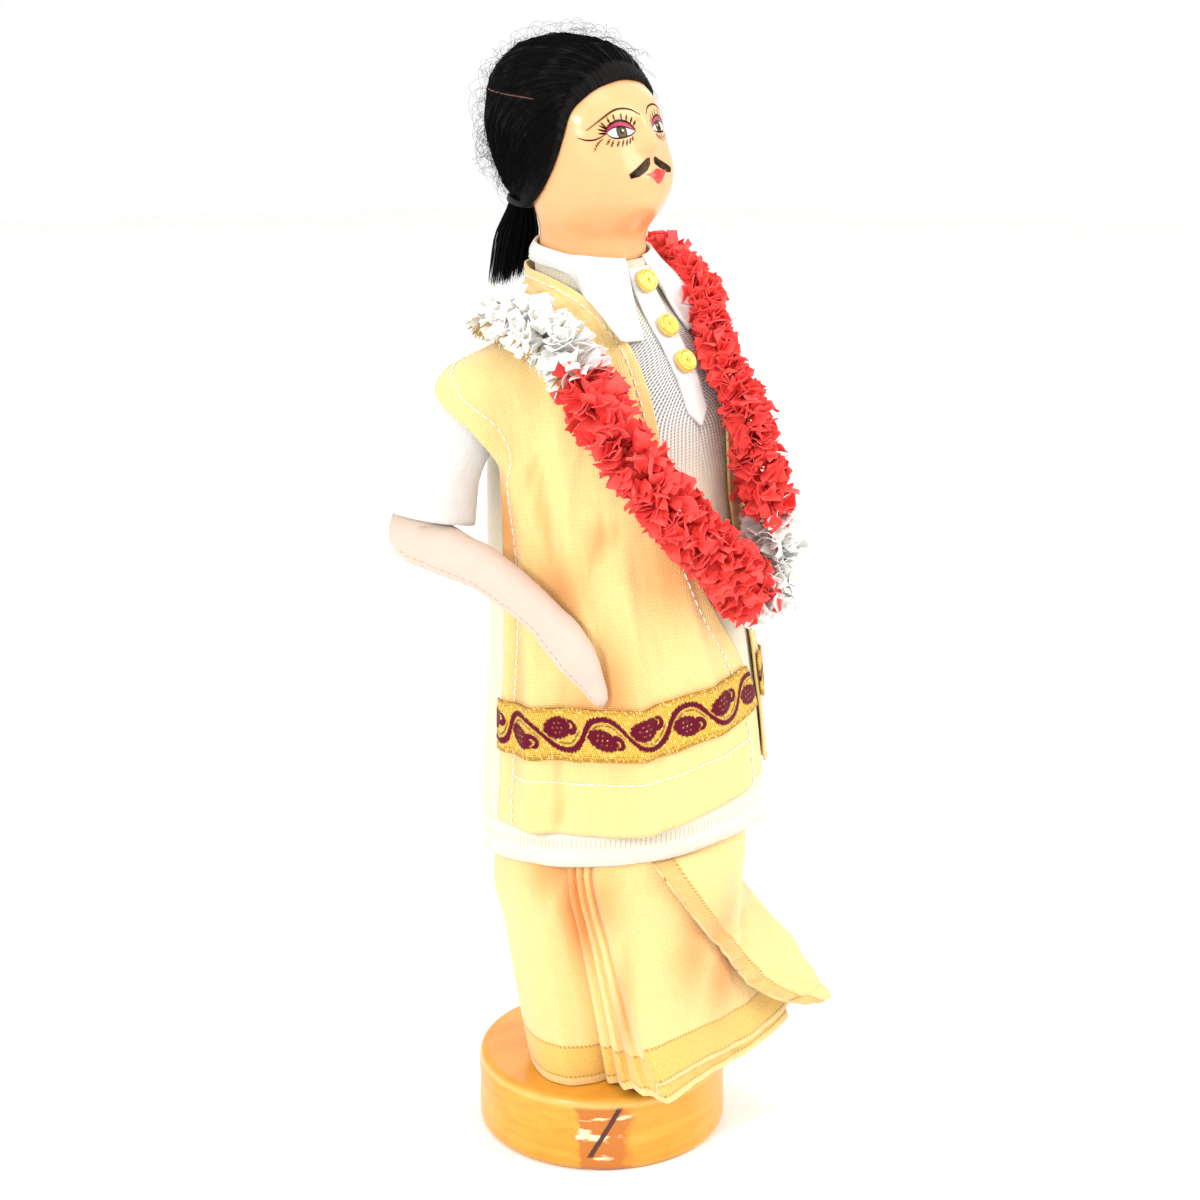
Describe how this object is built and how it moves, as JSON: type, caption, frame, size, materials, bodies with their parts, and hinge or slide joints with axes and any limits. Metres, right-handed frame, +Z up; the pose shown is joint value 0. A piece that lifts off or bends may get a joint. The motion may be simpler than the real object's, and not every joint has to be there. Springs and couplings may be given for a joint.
{
  "type": "decorative doll",
  "caption": "Standing cloth doll of a bridegroom in a long shirt, pleated waist cloth, shawl and paper flower garland, fixed on a round varnished wooden base.",
  "frame": {"origin": "middle of the base's flat underside", "axes": "+Z up along the figure; the doll faces -Y, so its right hand is on the -X side"},
  "size_m": [0.1178, 0.0895, 0.3001],
  "materials": {
    "varnished_wood": "honey-coloured turned wood under glossy varnish, worn in one place",
    "painted_skin": "moulded head with glossy peach paint and painted features",
    "black_fibre": "fine black doll hair",
    "black_thread": "plain black thread",
    "kurta_cloth": "thin off-white cotton with fine woven lines",
    "arm_cloth": "pale pinkish cream cotton over stuffing",
    "white_cloth": "plain white cotton",
    "gold_stud": "gold-coloured stud",
    "cream_cloth": "golden cream tissue cloth with woven borders",
    "woven_ribbon": "gold and maroon woven ribbon",
    "white_paper": "white paper florets",
    "red_paper": "red paper florets"
  },
  "bodies": {
    "root": {"base": "varnished_wood", "head": "painted_skin", "hair": "black_fibre", "hair_tie": "black_thread", "kurta": "kurta_cloth", "sleeve_right": "kurta_cloth", "sleeve_left": "kurta_cloth", "arm_right": "arm_cloth", "arm_left": "arm_cloth", "collar": "white_cloth", "placket": "white_cloth", "button_upper": "gold_stud", "button_middle": "gold_stud", "button_lower": "gold_stud", "shawl": "cream_cloth", "shawl_border_right": "woven_ribbon", "shawl_border_left": "woven_ribbon", "dhoti": "cream_cloth", "dhoti_flap": "cream_cloth", "garland_nape": "white_paper", "garland_right": "red_paper", "garland_front": "white_paper", "garland_left": "red_paper"}
  },
  "joints": []
}
